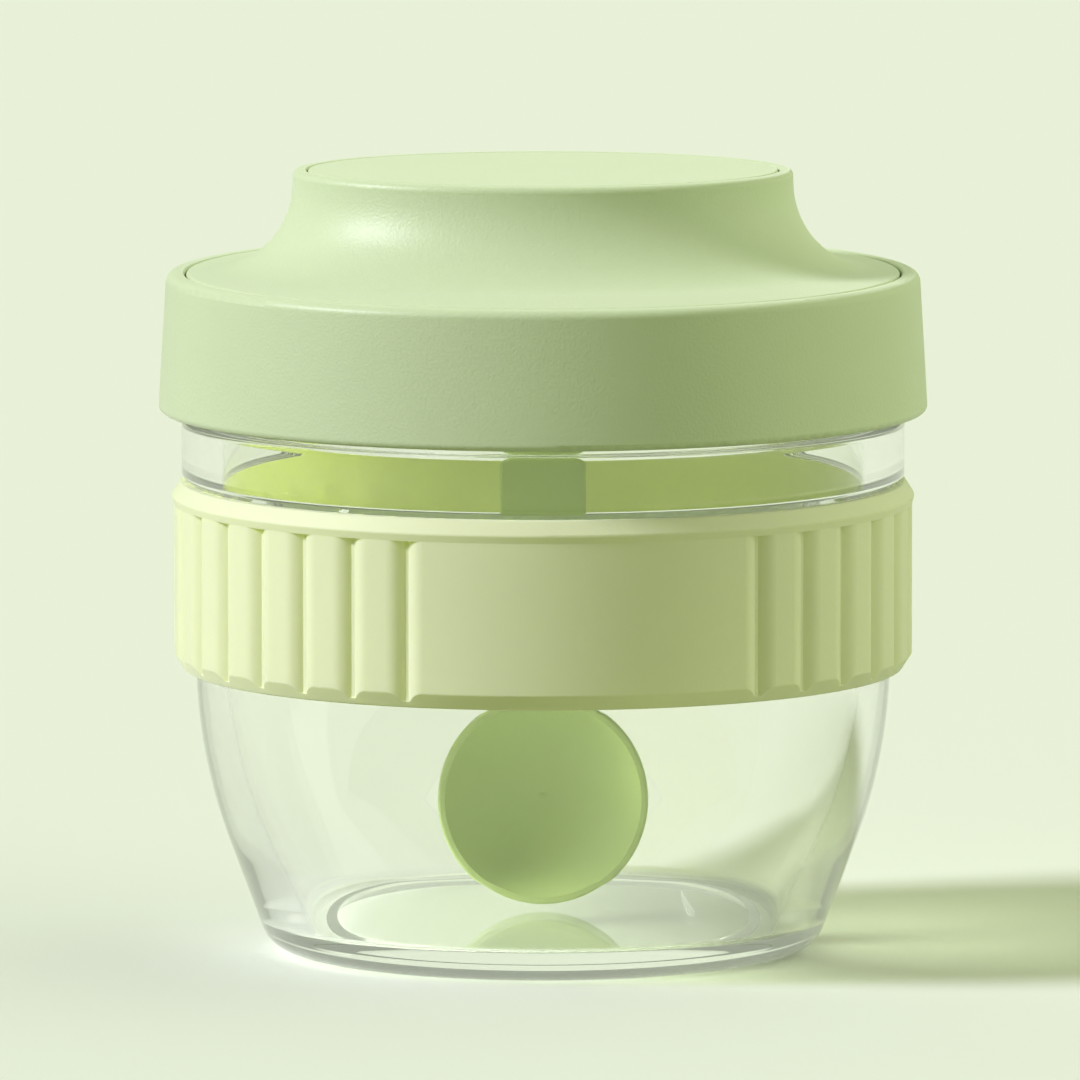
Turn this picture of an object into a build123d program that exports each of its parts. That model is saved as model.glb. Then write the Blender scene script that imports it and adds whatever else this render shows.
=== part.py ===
"""Clear condiment jar with a ribbed grip band, a screw collar and a lift-out spoon lid.

The jar stands on z = 0 with its axis on +Z. The spoon's hollow faces the front, -Y.
Every length is in millimetres and every angle in degrees.
"""

import os
from math import cos, degrees, radians, sin, sqrt, tan

from build123d import *

# Fits
slip_gap = 0.3  # radial room between parts that lift or turn past each other
seat_gap = 0.05  # room of parts that are pressed or stretched on
seam_gap = 0.25  # open seam round the lid and round the knob's cap
soft_edge = 0.4  # round on moulded edges

# Clear jar, radii stepping out from the mouth and in again to the foot
mouth_radius = 41.7
finish_wall = 2.5  # screw neck inside the collar
neck_step = 2.8  # clear ring between the collar and the grip band
band_seat_step = 0.9
band_seat_taper = 1.4
cone_run = 9.0
heel_run = 4.2
foot_width = 4.1
wall = 3.5
floor_wall = 5.5  # the wall thickens down to the floor

# Clear jar, heights and rounds
jar_height = 82.8
neck_height = 8.1
bend_height = 24.8
heel_rise = 0.75
floor_height = 4.6
foot_recess = 1.6
foot_recess_draft = 1.3  # how far the recess widens down to the foot
neck_round = 0.8
rim_round = 1.0
bend_round = 70.0
heel_round = 4.5
floor_round = 1.2
foot_round = 1.5

# Grip band
band_height = 24.5
band_thickness = 2.2  # at the upper lip
lip_proud = 0.3  # how far the upper lip stands out from the ribs
lip_top_width = 1.2
lip_top_height = 1.9
lip_bottom_width = 1.3
lip_bottom_height = 2.0
rib_count = 13  # in each of the two banks
rib_round = 2.6  # shoulders of the ribs and of the panels
valley_width = 0.6  # at the bottom of the valleys between the ribs
valley_sink = 1.05
rib_margin_top = 2.9  # plain edge above the ribs
rib_margin_bottom = 0.9
panel_angle = 57.4  # plain front and back, from valley to valley
band_turn = 6.9  # middle of the plain panel, round from the front

# Screw collar
collar_height = 18.0
collar_foot_gap = 1.0  # above the clear neck ring
collar_taper = 1.05
collar_wall = 1.8
collar_rim_width = 2.35
collar_edge_round = 1.2
collar_foot_round = 0.8
thread_room = 1.4  # between the screw neck and the inner skirt
inner_skirt_wall = 1.3
inner_skirt_short = 0.4
core_width = 1.3  # groove between the two skirts
core_depth = 9.4
flange_thickness = 1.9
bore_wall = 1.1
bore_depth = 8.7

# Seal between the jar's rim and the collar
gasket_thickness = 1.5
gasket_overhang = 1.0

# Knob shell and its cap
skirt_edge = 2.4
skirt_rise = 4.0
knob_length = 65.0
knob_width = 49.4
knob_height = 13.4
knob_flare = 11.5
knob_edge_round = 0.8
shell_wall = 1.9
locating_height = 3.0
locating_wall = 1.5
cap_margin = 2.0  # knob's rim round the cap
cap_thickness = 1.8
cap_shelf = 1.8
cap_edge_round = 0.3
peg_radius = 1.5
peg_spacing = 40.0

# Plug under the knob, with its seal and the spoon's socket
plug_gap = 1.0  # between the plug and the collar's bore
plug_wall = 2.2
plug_depth = 9.7
plug_floor = 1.8
groove_rise = 3.4
groove_height = 3.2
groove_depth = 1.1
seal_gap = 0.12
seal_waist = 0.5
socket_wall = 1.6
socket_depth = 10.5

# Spoon
spoon_diameter = 27.5
spoon_depth = 6.6
spoon_wall = 1.3
spoon_lip = 0.9
spoon_edge = 1.6
spoon_floor_gap = 0.6
stem_width = 11.1
stem_thickness = 3.2
stem_round = 1.3
stem_fit = 0.1
stem_blend = 4.0

# Heights that follow from the sizes above
gasket_top = jar_height + gasket_thickness
ledge = gasket_top + flange_thickness
rim_top = ledge + skirt_edge
knob_top = rim_top + knob_height
collar_foot = rim_top - collar_height
neck_top = collar_foot - collar_foot_gap
band_top = neck_top - neck_height
band_bottom = band_top - band_height
plug_bottom = ledge - plug_depth
spoon_middle = floor_height + spoon_floor_gap + spoon_diameter / 2

# Radii that follow from the sizes above
finish_radius = mouth_radius + finish_wall
neck_radius = finish_radius + neck_step
band_seat = neck_radius - band_seat_step
bend_radius = band_seat - band_seat_taper
heel_radius = bend_radius - cone_run
foot_radius = heel_radius - heel_run
skirt_bore = finish_radius + thread_room
core_inside = skirt_bore + inner_skirt_wall
core_outside = core_inside + core_width
collar_foot_radius = core_outside + collar_wall
collar_top_radius = collar_foot_radius - collar_taper
bore_outside = mouth_radius - slip_gap
bore_radius = bore_outside - bore_wall
lid_seat = collar_top_radius - collar_rim_width
lid_radius = lid_seat - seam_gap
plug_radius = bore_radius - plug_gap
plug_inside = plug_radius - plug_wall


def outline(*corners):
    """Fill a closed outline in the current sketch. Each corner is (r, z, round)."""
    points = [(r, z) for r, z, _ in corners]
    rounds = [corner_round for _, _, corner_round in corners]
    with BuildLine() as edge:
        FilletPolyline(*points, radius=rounds, close=True)
    make_face(edge.edges())


def knob_oval(margin):
    """Draw the knob's oval, moved in by margin."""
    Ellipse(knob_length / 2 - margin, knob_width / 2 - margin)


def stem_section(margin):
    """Draw the section of the spoon's stem, moved out by margin."""
    RectangleRounded(stem_width + 2 * margin, stem_thickness + 2 * margin, stem_round + margin)


def round_band_point(radius, angle):
    """Point on a circle round the axis. Angle 0 is the middle of the band's front panel."""
    turned = radians(angle + band_turn - 90)
    return (radius * cos(turned), radius * sin(turned))


# Clear jar: a heavy wall with a foot ring, a seat for the band and a screw neck
cone_slope = cone_run / (bend_height - heel_rise)
cone_wall = wall * sqrt(1 + cone_slope**2)
inner_bend = heel_rise + (mouth_radius + cone_wall - heel_radius) / cone_slope
floor_corner = heel_radius + cone_slope * (floor_height - heel_rise) - floor_wall
foot_inside = foot_radius - foot_width

with BuildPart() as jar:
    with BuildSketch(Plane.XZ):
        outline(
            (0, foot_recess, 0),
            (foot_inside, foot_recess, soft_edge),
            (foot_inside + foot_recess_draft, 0, soft_edge),
            (foot_radius, 0, foot_round),
            (heel_radius, heel_rise, heel_round),
            (bend_radius, bend_height, bend_round),
            (band_seat, band_top, seat_gap),
            (neck_radius, band_top + neck_round, neck_round),
            (neck_radius, neck_top, neck_round),
            (finish_radius, neck_top, neck_round),
            (finish_radius, jar_height, rim_round),
            (mouth_radius, jar_height, rim_round),
            (mouth_radius, inner_bend, bend_round - wall),
            (floor_corner, floor_height, floor_round),
            (0, floor_height, 0),
        )
    revolve(axis=Axis.Z)
jar.part.label = "jar"

# Grip band: a turned ring with two banks of soft ribs between plain panels
seat_slope = band_seat_taper / (band_top - bend_height)
band_inside_top = band_seat + seat_gap
band_inside_bottom = band_inside_top - seat_slope * band_height
lip_radius = band_seat + band_thickness
band_radius = lip_radius - lip_proud
valley_radius = band_radius - valley_sink
rib_pitch = (180 - panel_angle) / rib_count
rib_low = band_bottom + rib_margin_bottom
rib_high = band_top - rib_margin_top
shoulder_width = sqrt(rib_round**2 - (rib_round - valley_sink) ** 2)
land_edge = degrees((shoulder_width + valley_width / 2) / valley_radius)


def land(middle, angle):
    """Keep a land with round shoulders in the current sketch. Angle is from valley to valley."""
    half = angle / 2 - land_edge
    reach = lip_radius / cos(radians(half))
    sides = (middle - half, middle + half)
    Polygon((0, 0), *[round_band_point(reach, side) for side in sides], align=None, mode=Mode.SUBTRACT)
    with Locations(*[round_band_point(band_radius - rib_round, side) for side in sides]):
        Circle(rib_round, mode=Mode.SUBTRACT)


with BuildPart() as grip_band:
    with BuildSketch(Plane.XZ):
        outline(
            (band_inside_bottom, band_bottom, 0),
            (band_radius - lip_bottom_width, band_bottom, soft_edge),
            (band_radius, band_bottom + lip_bottom_height, soft_edge),
            (band_radius, rib_high, soft_edge),
            (lip_radius, band_top - lip_top_height, soft_edge),
            (lip_radius - lip_top_width, band_top, soft_edge),
            (band_inside_top, band_top, 0),
        )
    revolve(axis=Axis.Z)
    with BuildSketch(Plane.XY.offset(rib_low)):
        Circle(lip_radius)
        Circle(valley_radius, mode=Mode.SUBTRACT)
        for middle in (0, 180):
            land(middle, panel_angle)
            for rib in range(rib_count):
                land(middle + panel_angle / 2 + (rib + 0.5) * rib_pitch, rib_pitch)
    extrude(amount=rib_high - rib_low, mode=Mode.SUBTRACT)
grip_band.part.label = "grip_band"

# Screw collar: an outer and an inner skirt, a flange that carries the lid, and a bore
core_top = collar_foot + core_depth
core_narrowing = collar_taper * core_depth / collar_height
skirt_end = collar_foot + inner_skirt_short
bore_end = ledge - bore_depth

with BuildPart() as lid_collar:
    with BuildSketch(Plane.XZ):
        outline(
            (collar_foot_radius, collar_foot, collar_foot_round),
            (collar_top_radius, rim_top, collar_edge_round),
            (lid_seat, rim_top, soft_edge),
            (lid_seat, ledge, 0),
            (bore_radius, ledge, soft_edge),
            (bore_radius, bore_end, soft_edge),
            (bore_outside, bore_end, soft_edge),
            (bore_outside, gasket_top, 0),
            (skirt_bore, gasket_top, 0),
            (skirt_bore, skirt_end, soft_edge),
            (core_inside, skirt_end, soft_edge),
            (core_inside, core_top, 0),
            (core_outside - core_narrowing, core_top, 0),
            (core_outside, collar_foot, soft_edge),
        )
    revolve(axis=Axis.Z)
lid_collar.part.label = "lid_collar"

# Flat seal that the collar presses on the jar's rim
gasket_radius = finish_radius + gasket_overhang

with BuildPart() as rim_gasket:
    with BuildSketch(Plane.XZ):
        outline(
            (mouth_radius, jar_height, 0),
            (gasket_radius, jar_height, 0),
            (gasket_radius, gasket_top, 0),
            (mouth_radius, gasket_top, 0),
        )
    revolve(axis=Axis.Z)
rim_gasket.part.label = "rim_gasket"

# Knob shell: an oval knob that flares into a round skirt, hollow from below, with a
# shelf for the cap and a ring that locates the plug
skirt_slope = tan(radians(skirt_rise))
skirt_drop = shell_wall / cos(radians(skirt_rise))
flare = min(knob_flare, lid_radius - knob_length / 2 - shell_wall - soft_edge)
shelf_top = knob_top - cap_thickness
locating_radius = plug_inside - seat_gap
locating_bottom = rim_top - shell_wall - locating_height
peg_hole = peg_radius + seat_gap


def knob_form(margin, drop, bottom):
    """The knob and its skirt as a full solid, with its sides moved in by margin and its skirt down by drop."""
    radius = lid_radius - margin
    edge = rim_top + margin * skirt_slope - drop
    peak = edge + radius * skirt_slope
    with BuildPart() as form:
        with BuildSketch(Plane.XZ):
            outline((0, bottom, 0), (radius, bottom, 0), (radius, edge, 0), (0, peak, 0))
        revolve(axis=Axis.Z)
        with BuildSketch(Plane.XY.offset(bottom)):
            knob_oval(margin)
        extrude(amount=knob_top - bottom)
        knob_foot = form.edges().filter_by_position(Axis.Z, edge, knob_top, (False, False))
        fillet(knob_foot, flare + margin)
    return form.part


with BuildPart() as knob_cavity:
    add(knob_form(shell_wall, skirt_drop, locating_bottom))
    with BuildSketch(Plane.XY.offset(shelf_top - cap_shelf)):
        knob_oval(0)
    extrude(amount=cap_shelf + cap_thickness, mode=Mode.SUBTRACT)
    with BuildSketch(Plane.XY.offset(locating_bottom)):
        Circle(locating_radius)
        Circle(locating_radius - locating_wall, mode=Mode.SUBTRACT)
    extrude(amount=knob_top - locating_bottom, mode=Mode.SUBTRACT)

with BuildPart() as lid_insert:
    add(knob_form(0, 0, locating_bottom))
    add(knob_cavity.part, mode=Mode.SUBTRACT)
    with BuildSketch(Plane.XY.offset(locating_bottom)):
        Circle(collar_foot_radius)
        Circle(locating_radius, mode=Mode.SUBTRACT)
    extrude(amount=ledge - locating_bottom, mode=Mode.SUBTRACT)
    with BuildSketch(Plane.XY.offset(shelf_top)):
        knob_oval(cap_margin - seam_gap)
    extrude(amount=cap_thickness, mode=Mode.SUBTRACT)
    with BuildSketch(Plane.XY.offset(shelf_top)):
        with GridLocations(peg_spacing, 0, 2, 1):
            Circle(peg_hole)
    extrude(amount=-cap_shelf, mode=Mode.SUBTRACT)
    knob_rim = lid_insert.edges().filter_by_position(Axis.Z, knob_top, knob_top).sort_by(SortBy.LENGTH)
    fillet(knob_rim[-1], knob_edge_round)
    fillet(knob_rim[0], cap_edge_round)
    skirt_rim = lid_insert.edges().filter_by_position(Axis.Z, rim_top, rim_top).sort_by(SortBy.LENGTH)
    fillet(skirt_rim[-1], soft_edge)
lid_insert.part.label = "lid_insert"

# Cap let into the knob's top on two pegs
with BuildPart() as knob_cap:
    with BuildSketch(Plane.XY.offset(shelf_top)):
        knob_oval(cap_margin)
    extrude(amount=cap_thickness)
    fillet(knob_cap.edges().group_by(Axis.Z)[-1], cap_edge_round)
    with BuildSketch(Plane.XY.offset(shelf_top)):
        with GridLocations(peg_spacing, 0, 2, 1):
            Circle(peg_radius)
    extrude(amount=-cap_shelf)
knob_cap.part.label = "knob_cap"

# Plug: a cup that closes the knob from below, with a seal groove and a blind spoon socket
plug_top = rim_top - skirt_drop + (lid_radius - plug_radius) * skirt_slope - seat_gap
groove_bottom = plug_bottom + groove_rise
groove_top = groove_bottom + groove_height
groove_radius = plug_radius - groove_depth
socket_top = plug_bottom + socket_depth

with BuildPart() as lid_plug:
    with BuildSketch(Plane.XZ):
        outline(
            (0, plug_bottom, 0),
            (plug_radius, plug_bottom, soft_edge),
            (plug_radius, groove_bottom, 0),
            (groove_radius, groove_bottom, 0),
            (groove_radius, groove_top, 0),
            (plug_radius, groove_top, 0),
            (plug_radius, plug_top, 0),
            (plug_inside, plug_top, 0),
            (plug_inside, plug_bottom + plug_floor, 0),
            (0, plug_bottom + plug_floor, 0),
        )
    revolve(axis=Axis.Z)
    with BuildSketch(Plane.XY.offset(plug_bottom)):
        stem_section(stem_fit + socket_wall)
    extrude(amount=socket_depth + socket_wall)
    with BuildSketch(Plane.XY.offset(plug_bottom)):
        stem_section(stem_fit)
    extrude(amount=socket_depth, mode=Mode.SUBTRACT)
lid_plug.part.label = "lid_plug"

# Plug seal: a soft ring with two lips that wipe the collar's bore
seal_radius = bore_radius - seal_gap
seal_bottom = groove_bottom + seat_gap
seal_top = groove_top - seat_gap
seal_middle = (seal_bottom + seal_top) / 2
lip_rise = (seal_top - seal_bottom) / 4

with BuildPart() as plug_seal:
    with BuildSketch(Plane.XZ):
        outline(
            (groove_radius + seat_gap, seal_bottom, 0),
            (plug_radius, seal_bottom, 0),
            (seal_radius, seal_bottom + lip_rise, seal_gap),
            (seal_radius - seal_waist, seal_middle, seal_gap),
            (seal_radius, seal_top - lip_rise, seal_gap),
            (plug_radius, seal_top, 0),
            (groove_radius + seat_gap, seal_top, 0),
        )
    revolve(axis=Axis.Z)
plug_seal.part.label = "plug_seal"

# Spoon: a round bowl that faces forward on a flat stem
spoon_radius = spoon_diameter / 2
spoon_front = -stem_thickness / 2
hollow_radius = spoon_radius - spoon_lip
bowl_axis = Axis((0, 0, spoon_middle), (0, 1, 0))
spoon_top = spoon_middle + spoon_radius
stem_start = spoon_middle + spoon_radius / 2
stem_stop = plug_bottom - seat_gap


def bowl_section(radius, edge, depth):
    """Fill half the section of a dish that is open to the front, in the current sketch."""
    with BuildLine() as section:
        Polyline((0, spoon_front + depth), (0, spoon_front), (radius, spoon_front))
        rim = (radius, spoon_front + edge)
        if edge > 0:
            Line((radius, spoon_front), rim)
        TangentArc((0, spoon_front + depth), rim, tangent=(1, 0))
    make_face(section.edges())


with BuildPart() as spoon:
    with BuildSketch(Plane.XY.offset(spoon_middle)):
        bowl_section(spoon_radius, spoon_edge, spoon_depth + spoon_wall)
    revolve(axis=bowl_axis)
    with BuildSketch(Plane.XZ.offset(-spoon_front)) as spoon_outline:
        with Locations((0, spoon_middle)):
            Circle(spoon_radius)
        with Locations((0, stem_start)):
            Rectangle(stem_width, stem_stop - stem_start, align=(Align.CENTER, Align.MIN))
        shoulders = spoon_outline.vertices().filter_by_position(Axis.Y, stem_start, spoon_top)
        fillet(shoulders, stem_blend)
    extrude(amount=-spoon_edge)
    with BuildSketch(Plane.XY.offset(stem_start)):
        stem_section(0)
    extrude(amount=socket_top - stem_start)
    with BuildSketch(Plane.XY.offset(spoon_middle)):
        bowl_section(hollow_radius, 0, spoon_depth)
    revolve(axis=bowl_axis, mode=Mode.SUBTRACT)
    front_edges = spoon.edges().filter_by_position(Axis.Y, spoon_front, spoon_front)
    fillet(front_edges.filter_by_position(Axis.Z, 0, stem_stop, (True, False)), soft_edge)
spoon.part.label = "spoon"

os.makedirs("parts", exist_ok=True)
for piece in (jar, grip_band, lid_collar, rim_gasket, lid_insert, knob_cap, lid_plug, plug_seal, spoon):
    export_step(piece.part, f"parts/{piece.part.label}.step")
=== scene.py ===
"""Looks of the condiment jar: finishes, clear glass, screw threads, studio light and camera.

Lengths are in metres, and in millimetres where a heading says so.
"""

from math import atan2, cos, hypot, pi, radians, sin, tan

import bpy
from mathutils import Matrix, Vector


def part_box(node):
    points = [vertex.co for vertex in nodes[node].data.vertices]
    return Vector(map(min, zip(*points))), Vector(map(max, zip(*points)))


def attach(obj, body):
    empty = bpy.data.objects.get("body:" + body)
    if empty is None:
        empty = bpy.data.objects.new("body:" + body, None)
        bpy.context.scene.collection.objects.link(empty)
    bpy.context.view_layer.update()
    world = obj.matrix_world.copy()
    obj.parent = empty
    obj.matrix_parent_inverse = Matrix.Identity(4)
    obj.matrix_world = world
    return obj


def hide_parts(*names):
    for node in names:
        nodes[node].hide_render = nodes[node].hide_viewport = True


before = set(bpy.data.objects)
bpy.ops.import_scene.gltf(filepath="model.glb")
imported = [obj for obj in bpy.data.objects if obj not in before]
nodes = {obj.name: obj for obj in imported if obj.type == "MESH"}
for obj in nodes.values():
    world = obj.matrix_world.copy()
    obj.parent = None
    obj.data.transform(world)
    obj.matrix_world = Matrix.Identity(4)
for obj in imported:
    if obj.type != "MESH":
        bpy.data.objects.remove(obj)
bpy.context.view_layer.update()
MM = 0.001

# Colours, linear
LID_GREEN = (0.62, 0.715, 0.47)
SPOON_GREEN = (0.63, 0.77, 0.31)
BAND_GREEN = (0.80, 0.82, 0.60)
BAND_THROUGH = (0.24, 0.275, 0.055)  # light that comes through the band to its inside
SEAL_WHITE = (0.85, 0.86, 0.82)
GLASS_TINT = (0.985, 0.99, 0.98)
GLASS_SHADE = (0.84, 0.875, 0.76)  # light that each surface of the glass lets through to what it shades
BACKGROUND = (0.80, 0.88, 0.69)
FLOOR_PAINT = (0.80, 0.82, 0.765)
FLOOR_BOUNCE = (0.29, 0.32, 0.17)  # what the floor throws back at the object
SURROUNDINGS = (0.85, 0.97, 0.55)
KEY_WHITE = (0.95, 0.96, 1.0)
FILL_WHITE = (1.0, 1.0, 0.9)

# Finishes
PLASTIC_IOR = 1.48
SHEEN_ROUGHNESS = 0.5
SOFT_COLOURS = (1, 1, 0.6)  # how far red, green and blue spread inside, against each other
GRAIN_DETAIL = 3.0
BUMP_STRENGTH = 0.5
GLOSS_CHANGE = 0.05
MOTTLE = 0.03  # change of colour over a surface
MOTTLE_SCALE = 60.0
MOTTLE_DETAIL = 4.0
OUTER_SHARE = 0.2  # how much of the light through the band its outside shows
GLASS_IOR = 1.5
GLASS_TURNS = 3.5  # reflections after which the glass shows a painted glow of plain background in place of light
GLASS_PAINTED_GLOW = 0.4  # how bright that painted glow is
FLOOR_ROUGHNESS = 0.9
SHARP_ANGLE = radians(40)

# Clear jar, as in the solid: radii, heights and rounds in millimetres
MOUTH = 41.7
FINISH = 44.2
NECK = 47.0
BAND_SEAT = 46.1
BEND = 44.7
HEEL = 35.7
FOOT = 31.5
FOOT_INSIDE = 27.4
RECESS_DRAFT = 1.3
WALL = 3.5
FLOOR_WALL = 5.5
JAR_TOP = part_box("jar")[1][2] / MM
COLLAR_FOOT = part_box("lid_collar")[0][2] / MM
COLLAR_FOOT_GAP = 1.0
BAND_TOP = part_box("grip_band")[1][2] / MM
NECK_TOP = COLLAR_FOOT - COLLAR_FOOT_GAP
BEND_HEIGHT = 24.8
HEEL_RISE = 0.75
FLOOR = 4.6
RECESS = 1.6
SEAT_ROUND = 0.05
SMALL_ROUND = 0.4
NECK_ROUND = 0.8
RIM_ROUND = 1.0
FLOOR_ROUND = 1.2
FOOT_ROUND = 1.5
HEEL_ROUND = 4.5
BEND_ROUND = 70.0

# Steps of the jar's mesh, lengths in millimetres
ROUND_STEP = radians(1.5)
ROUND_LEAST = 6  # steps on the smallest rounds
SECTION_STEP = 0.3
TURN_STEPS = 480
SAME_RADIUS = 0.0004  # radii closer than this count as one

# Screw threads in millimetres
THREAD_STARTS = 3
THREAD_LEAD = 12.0
THREAD_LENGTH = radians(150)
THREAD_FADE = radians(12)
THREAD_HEIGHT = 1.0
THREAD_TOP = 0.3  # half the width of a ridge at its crest
THREAD_FOOT = 1.1
THREAD_DROP = 8.6  # from the jar's rim to where its ridges start
JAR_THREAD = JAR_TOP - THREAD_DROP
COLLAR_THREAD = JAR_THREAD - THREAD_LEAD / THREAD_STARTS / 2
COLLAR_BORE = 45.6
THREAD_ROOT = 0.2  # how far the collar's ridges reach into its skirt
THREAD_STEPS = 60
THREAD_ACROSS = 6
THREAD_RINGS = 3  # rings of the screw neck's mesh for each step of the section

# Camera, set to the photograph's angle
CAMERA_DISTANCE = 2.5
CAMERA_PITCH = radians(6.7)
CAMERA_AIM = Vector((-0.0004, 0, 0.0535))
VIEW_WIDTH = 0.1405  # width of the picture at the jar's axis
SENSOR = 36  # millimetres, as Blender keeps it
CLIP_NEAR = 0.05
CLIP_FAR = 50

# Light
KEY_AROUND = radians(14)  # from the left towards the camera
KEY_ABOVE = radians(33)
KEY_SPREAD = radians(14)
KEY_STRENGTH = 3.3
FILL_AROUND = radians(-12)  # from the right towards the camera
FILL_ABOVE = radians(14)
FILL_SPREAD = radians(80)
FILL_STRENGTH = 0.8
LIGHT_LEFT = 0.05  # brightness of the surroundings in each direction
LIGHT_RIGHT = 0.9
LIGHT_BACK = 0.9
LIGHT_TOP = 0.1
GLOSS_PLAIN = 0.6  # how much of the plain background shows in reflections
AFTER_BOUNCE = 0.5  # diffuse depth above which a ray only lights something
FLOOR_HALF = 6.0
FLOOR_DROP = 0.05 * MM  # thin air under the jar's foot


def shader(material, kind, **sockets):
    """A shader or texture node with these sockets set."""
    node = material.node_tree.nodes.new(kind)
    for name, value in sockets.items():
        node.inputs[name.replace("_", " ")].default_value = value
    return node


def maths(tree, operation, first, second):
    """A Math node. Each input is a socket or a number."""
    node = tree.nodes.new("ShaderNodeMath")
    node.operation = operation
    for socket, value in zip(node.inputs, (first, second)):
        if isinstance(value, (int, float)):
            socket.default_value = value
        else:
            tree.links.new(value, socket)
    return node.outputs["Value"]


def mix(tree, share, first, second):
    """A mix of two shaders, the second by this share."""
    mixed = tree.nodes.new("ShaderNodeMixShader")
    tree.links.new(share, mixed.inputs["Fac"])
    tree.links.new(first, mixed.inputs[1])
    tree.links.new(second, mixed.inputs[2])
    return mixed.outputs["Shader"]


def moulded(name, colour, roughness, grain, depth, sheen=0.0, soft=0.0, reach=0.0):
    """Moulded plastic or silicone: fine grain in its surface, with slight changes of colour and gloss.

    Sheen is its pale bloom, soft the share of light that spreads inside it and reach how far that goes.
    """
    material = bpy.data.materials.new(name)
    material.use_nodes = True
    tree = material.node_tree
    surface = tree.nodes["Principled BSDF"]
    surface.inputs["IOR"].default_value = PLASTIC_IOR
    surface.inputs["Sheen Weight"].default_value = sheen
    surface.inputs["Sheen Roughness"].default_value = SHEEN_ROUGHNESS
    surface.inputs["Subsurface Weight"].default_value = soft
    surface.inputs["Subsurface Radius"].default_value = SOFT_COLOURS
    surface.inputs["Subsurface Scale"].default_value = reach
    place = tree.nodes.new("ShaderNodeTexCoord")
    fine = shader(material, "ShaderNodeTexNoise", Scale=1 / grain, Detail=GRAIN_DETAIL)
    broad = shader(material, "ShaderNodeTexNoise", Scale=MOTTLE_SCALE, Detail=MOTTLE_DETAIL)
    tint = tree.nodes.new("ShaderNodeValToRGB")
    tint.color_ramp.elements[0].color = (*[c * (1 - MOTTLE) for c in colour], 1)
    tint.color_ramp.elements[1].color = (*[c * (1 + MOTTLE) for c in colour], 1)
    least, most = roughness - GLOSS_CHANGE, roughness + GLOSS_CHANGE
    gloss = shader(material, "ShaderNodeMapRange", To_Min=least, To_Max=most)
    bump = shader(material, "ShaderNodeBump", Strength=BUMP_STRENGTH, Distance=depth)
    for texture in (fine, broad):
        tree.links.new(place.outputs["Object"], texture.inputs["Vector"])
    tree.links.new(broad.outputs["Fac"], tint.inputs["Fac"])
    tree.links.new(tint.outputs["Color"], surface.inputs["Base Color"])
    tree.links.new(fine.outputs["Fac"], gloss.inputs["Value"])
    tree.links.new(gloss.outputs["Result"], surface.inputs["Roughness"])
    tree.links.new(fine.outputs["Fac"], bump.inputs["Height"])
    tree.links.new(bump.outputs["Normal"], surface.inputs["Normal"])
    return material


def let_through(material, colour):
    """Let light of this colour come through a ring round the axis, mostly to its inside."""
    tree = material.node_tree
    surface = tree.nodes["Principled BSDF"].outputs["BSDF"]
    behind = shader(material, "ShaderNodeBsdfTranslucent", Color=(*colour, 1))
    both = tree.nodes.new("ShaderNodeAddShader")
    tree.links.new(surface, both.inputs[0])
    tree.links.new(behind.outputs["BSDF"], both.inputs[1])
    # The inside is where the surface faces the axis
    place = tree.nodes.new("ShaderNodeTexCoord")
    outwards = tree.nodes.new("ShaderNodeVectorMath")
    outwards.operation = "MULTIPLY"
    outwards.inputs[1].default_value = (1, 1, 0)
    tree.links.new(place.outputs["Object"], outwards.inputs[0])
    facing = tree.nodes.new("ShaderNodeVectorMath")
    facing.operation = "DOT_PRODUCT"
    tree.links.new(outwards.outputs["Vector"], facing.inputs[0])
    tree.links.new(place.outputs["Normal"], facing.inputs[1])
    inner = maths(tree, "LESS_THAN", facing.outputs["Value"], 0)
    look = mix(tree, maths(tree, "MAXIMUM", inner, OUTER_SHARE), surface, both.outputs["Shader"])
    # Light that reaches one face from inside the ring passes its other face
    ray = tree.nodes.new("ShaderNodeLightPath")
    side = tree.nodes.new("ShaderNodeNewGeometry")
    leaves = maths(tree, "MULTIPLY", ray.outputs["Is Shadow Ray"], side.outputs["Backfacing"])
    passed = tree.nodes.new("ShaderNodeBsdfTransparent")
    look = mix(tree, leaves, look, passed.outputs["BSDF"])
    tree.links.new(look, tree.nodes["Material Output"].inputs["Surface"])


def clear(name, tint, shade, ior):
    """Clear glass that lets light through to what stands inside and behind it, and shows a painted glow of
    plain background after many reflections inside.
    """
    material = bpy.data.materials.new(name)
    material.use_nodes = True
    tree = material.node_tree
    surface = tree.nodes["Principled BSDF"]
    surface.inputs["Base Color"].default_value = (*tint, 1)
    surface.inputs["Roughness"].default_value = 0.0
    surface.inputs["IOR"].default_value = ior
    surface.inputs["Transmission Weight"].default_value = 1.0
    ray = tree.nodes.new("ShaderNodeLightPath")
    passed = shader(material, "ShaderNodeBsdfTransparent", Color=(*shade, 1))
    painted_glow = shader(material, "ShaderNodeEmission", Color=(*BACKGROUND, 1), Strength=GLASS_PAINTED_GLOW)
    look = mix(tree, ray.outputs["Is Shadow Ray"], surface.outputs["BSDF"], passed.outputs["BSDF"])
    # After many reflections inside the glass, a painted glow of plain background stands in for the light
    deep = maths(tree, "GREATER_THAN", ray.outputs["Glossy Depth"], GLASS_TURNS)
    look = mix(tree, deep, look, painted_glow.outputs["Emission"])
    tree.links.new(look, tree.nodes["Material Output"].inputs["Surface"])
    return material


def dress(node, material):
    """Give a CAD node its finish."""
    nodes[node].data.materials.clear()
    nodes[node].data.materials.append(material)


def piece(name, points, faces, material, body):
    """A smooth mesh piece from points in millimetres, riding on a body."""
    mesh = bpy.data.meshes.new(name)
    mesh.from_pydata([[c * MM for c in point] for point in points], [], faces)
    mesh.shade_smooth()
    mesh.set_sharp_from_angle(angle=SHARP_ANGLE)
    mesh.materials.append(material)
    made = bpy.data.objects.new(name, mesh)
    bpy.context.scene.collection.objects.link(made)
    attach(made, body)
    return made


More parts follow.
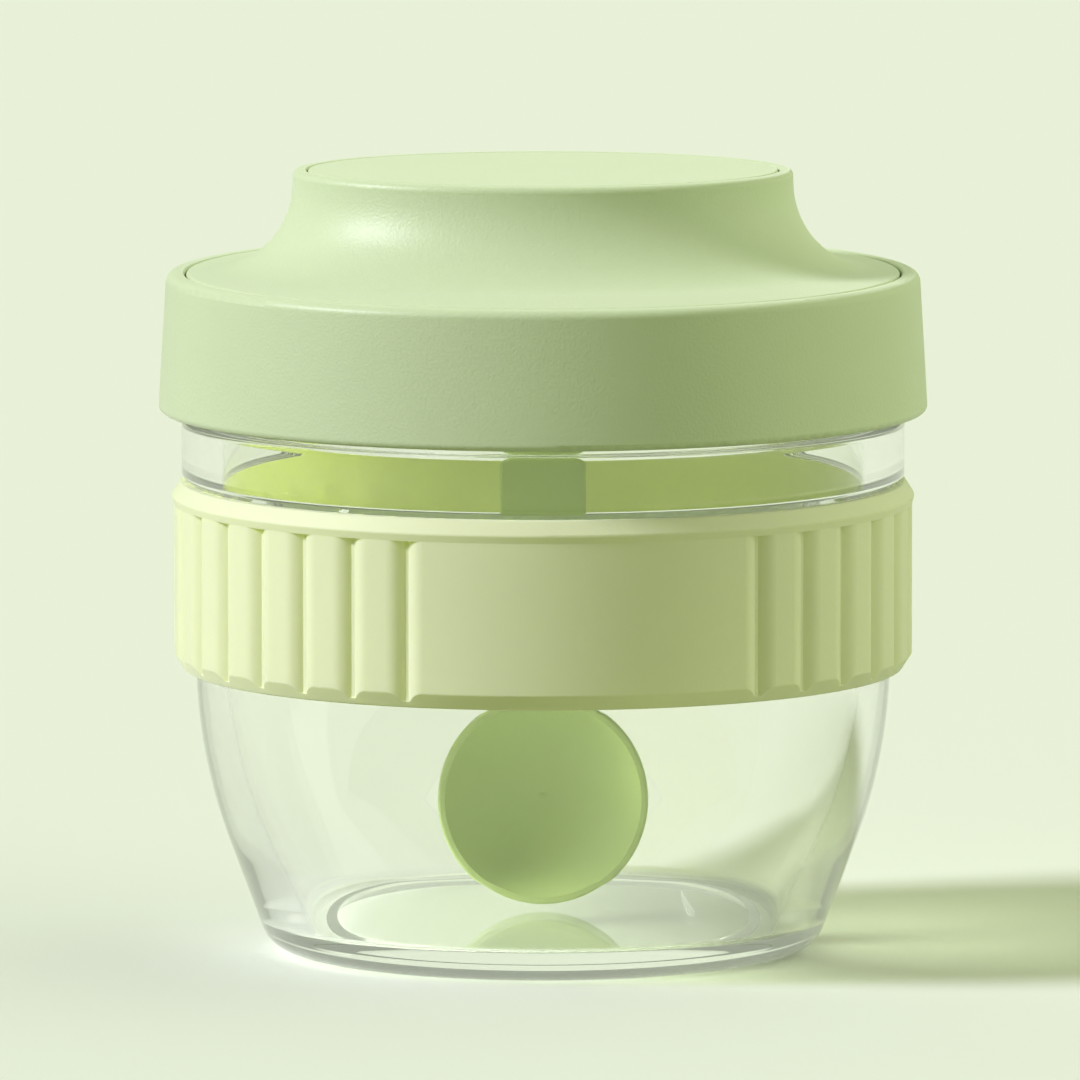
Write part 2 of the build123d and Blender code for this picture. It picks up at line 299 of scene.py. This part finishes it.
def lamp(name, side, around, above, spread, strength, colour):
    """A far lamp on the right (side 1) or the left (-1), turned round from there and raised."""
    light = bpy.data.lights.new(name, "SUN")
    light.energy = strength
    light.color = colour
    light.angle = spread
    made = bpy.data.objects.new(name, light)
    made.location = (side * cos(around) * cos(above), side * sin(around) * cos(above), sin(above))
    made.rotation_mode = "QUATERNION"
    made.rotation_quaternion = (-made.location).to_track_quat("-Z", "Y")
    bpy.context.scene.collection.objects.link(made)


def between(start, end, steps):
    """Points that divide a line into steps, without its end."""
    return [[a + (b - a) * k / steps for a, b in zip(start, end)] for k in range(steps)]


def section(corners):
    """Points along an open outline whose corners are (r, z, round), in small steps."""
    ends = [corners[0][:2]]
    for before, corner, after in zip(corners, corners[1:], corners[2:]):
        middle = Vector(corner[:2])
        back = (Vector(before[:2]) - middle).normalized()
        on = (Vector(after[:2]) - middle).normalized()
        opening = back.angle(on)
        centre = middle + (back + on).normalized() * corner[2] / sin(opening / 2)
        start = middle + back * corner[2] / tan(opening / 2) - centre
        sweep = start.angle_signed(middle + on * corner[2] / tan(opening / 2) - centre)
        first = atan2(start.y, start.x)
        by_length = round(abs(sweep) * corner[2] / SECTION_STEP)
        steps = max(ROUND_LEAST, round(abs(sweep) / ROUND_STEP), by_length)
        for step in range(steps + 1):
            turned = first - sweep * step / steps
            ends.append((centre.x + corner[2] * cos(turned), centre.y + corner[2] * sin(turned)))
    ends.append(corners[-1][:2])
    points = []
    for start, end in zip(ends, ends[1:]):
        length = hypot(end[0] - start[0], end[1] - start[1])
        points += between(start, end, max(1, round(length / SECTION_STEP)))
    return [*points, ends[-1]]


def on_finish(r):
    """Whether a point of the jar's section is on the straight of its screw neck."""
    return abs(r - FINISH) < SAME_RADIUS


def fade(along):
    """Height of a thread along its length, from 0 at its ends to 1."""
    return min(1, along / THREAD_FADE, (THREAD_LENGTH - along) / THREAD_FADE)


def ridge(across):
    """Height of a thread ridge at a distance from its middle line, from 0 to 1."""
    slope = (THREAD_FOOT - abs(across)) / (THREAD_FOOT - THREAD_TOP)
    slope = min(1, max(0, slope))
    return slope * slope * (3 - 2 * slope)


def thread_at(angle, z):
    """Height of the jar's screw thread at a place on its neck, from 0 to 1."""
    highest = 0
    for turn in range(THREAD_STARTS):
        along = (angle - turn * 2 * pi / THREAD_STARTS) % (2 * pi)
        if along <= THREAD_LENGTH:
            middle = JAR_THREAD + THREAD_LEAD * along / (2 * pi)
            highest = max(highest, fade(along) * ridge(z - middle))
    return highest


# Finishes of the CAD nodes
lid_plastic = moulded(
    "lid plastic",
    LID_GREEN,
    roughness=0.44,
    grain=0.4 * MM,
    depth=0.1 * MM,
    sheen=0.35,
    soft=0.2,
    reach=1.2 * MM,
)
spoon_plastic = moulded(
    "spoon plastic", SPOON_GREEN, roughness=0.42, grain=0.4 * MM, depth=0.03 * MM, soft=0.2, reach=1.2 * MM
)
silicone = moulded(
    "grip silicone",
    BAND_GREEN,
    roughness=0.6,
    grain=0.5 * MM,
    depth=0.03 * MM,
    sheen=0.5,
    soft=0.4,
    reach=1.5 * MM,
)
let_through(silicone, BAND_THROUGH)
seal = moulded("seal silicone", SEAL_WHITE, roughness=0.5, grain=0.6 * MM, depth=0.02 * MM)
glass = clear("clear glass", GLASS_TINT, GLASS_SHADE, GLASS_IOR)

dress("grip_band", silicone)
for node in ("lid_collar", "lid_insert", "knob_cap", "lid_plug"):
    dress(node, lid_plastic)
dress("spoon", spoon_plastic)
for node in ("rim_gasket", "plug_seal"):
    dress(node, seal)

# Clear jar, turned in fine steps so that it bends light evenly, with its screw thread
slope = (BEND - HEEL) / (BEND_HEIGHT - HEEL_RISE)
inner_bend = HEEL_RISE + (MOUTH + WALL * hypot(1, slope) - HEEL) / slope
floor_corner = HEEL + slope * (FLOOR - HEEL_RISE) - FLOOR_WALL
jar_section = section(
    (
        (0, RECESS, 0),
        (FOOT_INSIDE, RECESS, SMALL_ROUND),
        (FOOT_INSIDE + RECESS_DRAFT, 0, SMALL_ROUND),
        (FOOT, 0, FOOT_ROUND),
        (HEEL, HEEL_RISE, HEEL_ROUND),
        (BEND, BEND_HEIGHT, BEND_ROUND),
        (BAND_SEAT, BAND_TOP, SEAT_ROUND),
        (NECK, BAND_TOP + NECK_ROUND, NECK_ROUND),
        (NECK, NECK_TOP, NECK_ROUND),
        (FINISH, NECK_TOP, NECK_ROUND),
        (FINISH, JAR_TOP, RIM_ROUND),
        (MOUTH, JAR_TOP, RIM_ROUND),
        (MOUTH, inner_bend, BEND_ROUND - WALL),
        (floor_corner, FLOOR, FLOOR_ROUND),
        (0, FLOOR, 0),
    )
)
rings = []
for start, end in zip(jar_section[1:], jar_section[2:]):
    rings += between(start, end, THREAD_RINGS if on_finish(start[0]) and on_finish(end[0]) else 1)
points = []
for r, z in rings:
    for step in range(TURN_STEPS):
        angle = 2 * pi * step / TURN_STEPS
        threaded = r + THREAD_HEIGHT * thread_at(angle, z) if on_finish(r) else r
        points.append((threaded * cos(angle), threaded * sin(angle), z))
faces = []
for ring in range(len(rings) - 1):
    for step in range(TURN_STEPS):
        here = ring * TURN_STEPS + step
        beside = ring * TURN_STEPS + (step + 1) % TURN_STEPS
        faces.append((here, beside, beside + TURN_STEPS, here + TURN_STEPS))
last_ring = (len(rings) - 1) * TURN_STEPS
under = len(points)
inside = under + 1
points += [(0, 0, RECESS), (0, 0, FLOOR)]
for step in range(TURN_STEPS):
    beside = (step + 1) % TURN_STEPS
    faces.append((under, beside, step))
    faces.append((inside, last_ring + step, last_ring + beside))
jar = piece("clear_jar", points, faces, glass, "jar_body")
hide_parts("jar")

# Screw thread inside the collar's inner skirt
across = [THREAD_FOOT * (k / THREAD_ACROSS - 1) for k in range(2 * THREAD_ACROSS + 1)]
round_ridge = len(across) + 2
points = []
faces = []
for turn in range(THREAD_STARTS):
    faces.append([len(points) + k for k in range(round_ridge)][::-1])
    for step in range(THREAD_STEPS + 1):
        along = THREAD_LENGTH * step / THREAD_STEPS
        angle = along + turn * 2 * pi / THREAD_STARTS
        middle = COLLAR_THREAD + THREAD_LEAD * along / (2 * pi)
        height = THREAD_HEIGHT * fade(along)
        outline = [(COLLAR_BORE + THREAD_ROOT, across[0])]
        outline += [(COLLAR_BORE + THREAD_ROOT / 2 - height * ridge(offset), offset) for offset in across]
        outline.append((COLLAR_BORE + THREAD_ROOT, across[-1]))
        if step > 0:
            first = len(points) - round_ridge
            for k in range(round_ridge):
                here = first + k
                beside = first + (k + 1) % round_ridge
                faces.append((here, beside, beside + round_ridge, here + round_ridge))
        points += [(r * cos(angle), r * sin(angle), middle + offset) for r, offset in outline]
    faces.append([len(points) - round_ridge + k for k in range(round_ridge)])
piece("collar_thread", points, faces, lid_plastic, "collar")

# Floor: pale and plain, wide enough to fill the picture, and dimmer to the object than to the camera
bpy.ops.mesh.primitive_plane_add(size=2 * FLOOR_HALF, location=(0, 0, -FLOOR_DROP))
floor = bpy.context.object
floor.name = "floor"
floor_paint = bpy.data.materials.new("floor paint")
floor_paint.use_nodes = True
paint = floor_paint.node_tree
floor_surface = paint.nodes["Principled BSDF"]
floor_surface.inputs["Base Color"].default_value = (*FLOOR_PAINT, 1)
floor_surface.inputs["Roughness"].default_value = FLOOR_ROUGHNESS
floor_surface.inputs["Specular IOR Level"].default_value = 0.0
ray = paint.nodes.new("ShaderNodeLightPath")
bounce = shader(floor_paint, "ShaderNodeBsdfDiffuse", Color=(*FLOOR_BOUNCE, 1))
floor_look = mix(paint, ray.outputs["Is Diffuse Ray"], floor_surface.outputs["BSDF"], bounce.outputs["BSDF"])
paint.links.new(floor_look, paint.nodes["Material Output"].inputs["Surface"])
floor.data.materials.append(floor_paint)

# Surroundings: bright on the right and behind, dim on the left and above, dark on the camera's side
world = bpy.data.worlds.new("studio")
bpy.context.scene.world = world
world.use_nodes = True
sky = world.node_tree
place = sky.nodes.new("ShaderNodeTexCoord")
towards = sky.nodes.new("ShaderNodeSeparateXYZ")
sky.links.new(place.outputs["Generated"], towards.inputs["Vector"])
level = 0
directions = (("X", -1, LIGHT_LEFT), ("X", 1, LIGHT_RIGHT), ("Y", 1, LIGHT_BACK), ("Z", 1, LIGHT_TOP))
for axis, sign, amount in directions:
    facing = maths(sky, "MAXIMUM", maths(sky, "MULTIPLY", towards.outputs[axis], sign), 0)
    level = maths(sky, "ADD", maths(sky, "MULTIPLY", facing, amount), level)

# What stands behind the glass already has this light through it, so it isn't given twice
ray = sky.nodes.new("ShaderNodeLightPath")
lighting = maths(sky, "GREATER_THAN", ray.outputs["Diffuse Depth"], AFTER_BOUNCE)
twice = maths(sky, "MULTIPLY", lighting, ray.outputs["Is Transmission Ray"])
level = maths(sky, "MULTIPLY", level, maths(sky, "SUBTRACT", 1, twice))
background = sky.nodes["Background"]
sky.links.new(level, background.inputs["Strength"])
background.inputs["Color"].default_value = (*SURROUNDINGS, 1)

# Plain background for the camera, through the glass and partly in reflections
plain = sky.nodes.new("ShaderNodeBackground")
plain.inputs["Color"].default_value = (*BACKGROUND, 1)
seen = maths(sky, "MAXIMUM", ray.outputs["Is Camera Ray"], ray.outputs["Is Transmission Ray"])
seen = maths(sky, "MAXIMUM", seen, maths(sky, "MULTIPLY", ray.outputs["Is Glossy Ray"], GLOSS_PLAIN))
seen = maths(sky, "MULTIPLY", seen, maths(sky, "SUBTRACT", 1, lighting))
sky_look = mix(sky, seen, background.outputs["Background"], plain.outputs["Background"])
sky.links.new(sky_look, sky.nodes["World Output"].inputs["Surface"])

# Key light from the left and a weak wide light from the right
lamp("key", -1, KEY_AROUND, KEY_ABOVE, KEY_SPREAD, KEY_STRENGTH, KEY_WHITE)
lamp("fill", 1, FILL_AROUND, FILL_ABOVE, FILL_SPREAD, FILL_STRENGTH, FILL_WHITE)

# Camera
lens = bpy.data.cameras.new("camera")
lens.sensor_width = SENSOR
lens.lens = SENSOR * CAMERA_DISTANCE / VIEW_WIDTH
lens.clip_start = CLIP_NEAR
lens.clip_end = CLIP_FAR
camera = bpy.data.objects.new("camera", lens)
back = Vector((0, -cos(CAMERA_PITCH), sin(CAMERA_PITCH)))
camera.location = CAMERA_AIM + CAMERA_DISTANCE * back
camera.rotation_mode = "QUATERNION"
camera.rotation_quaternion = (-back).to_track_quat("-Z", "Y")
bpy.context.scene.collection.objects.link(camera)
bpy.context.scene.camera = camera
bpy.context.scene.view_settings.view_transform = "Standard"
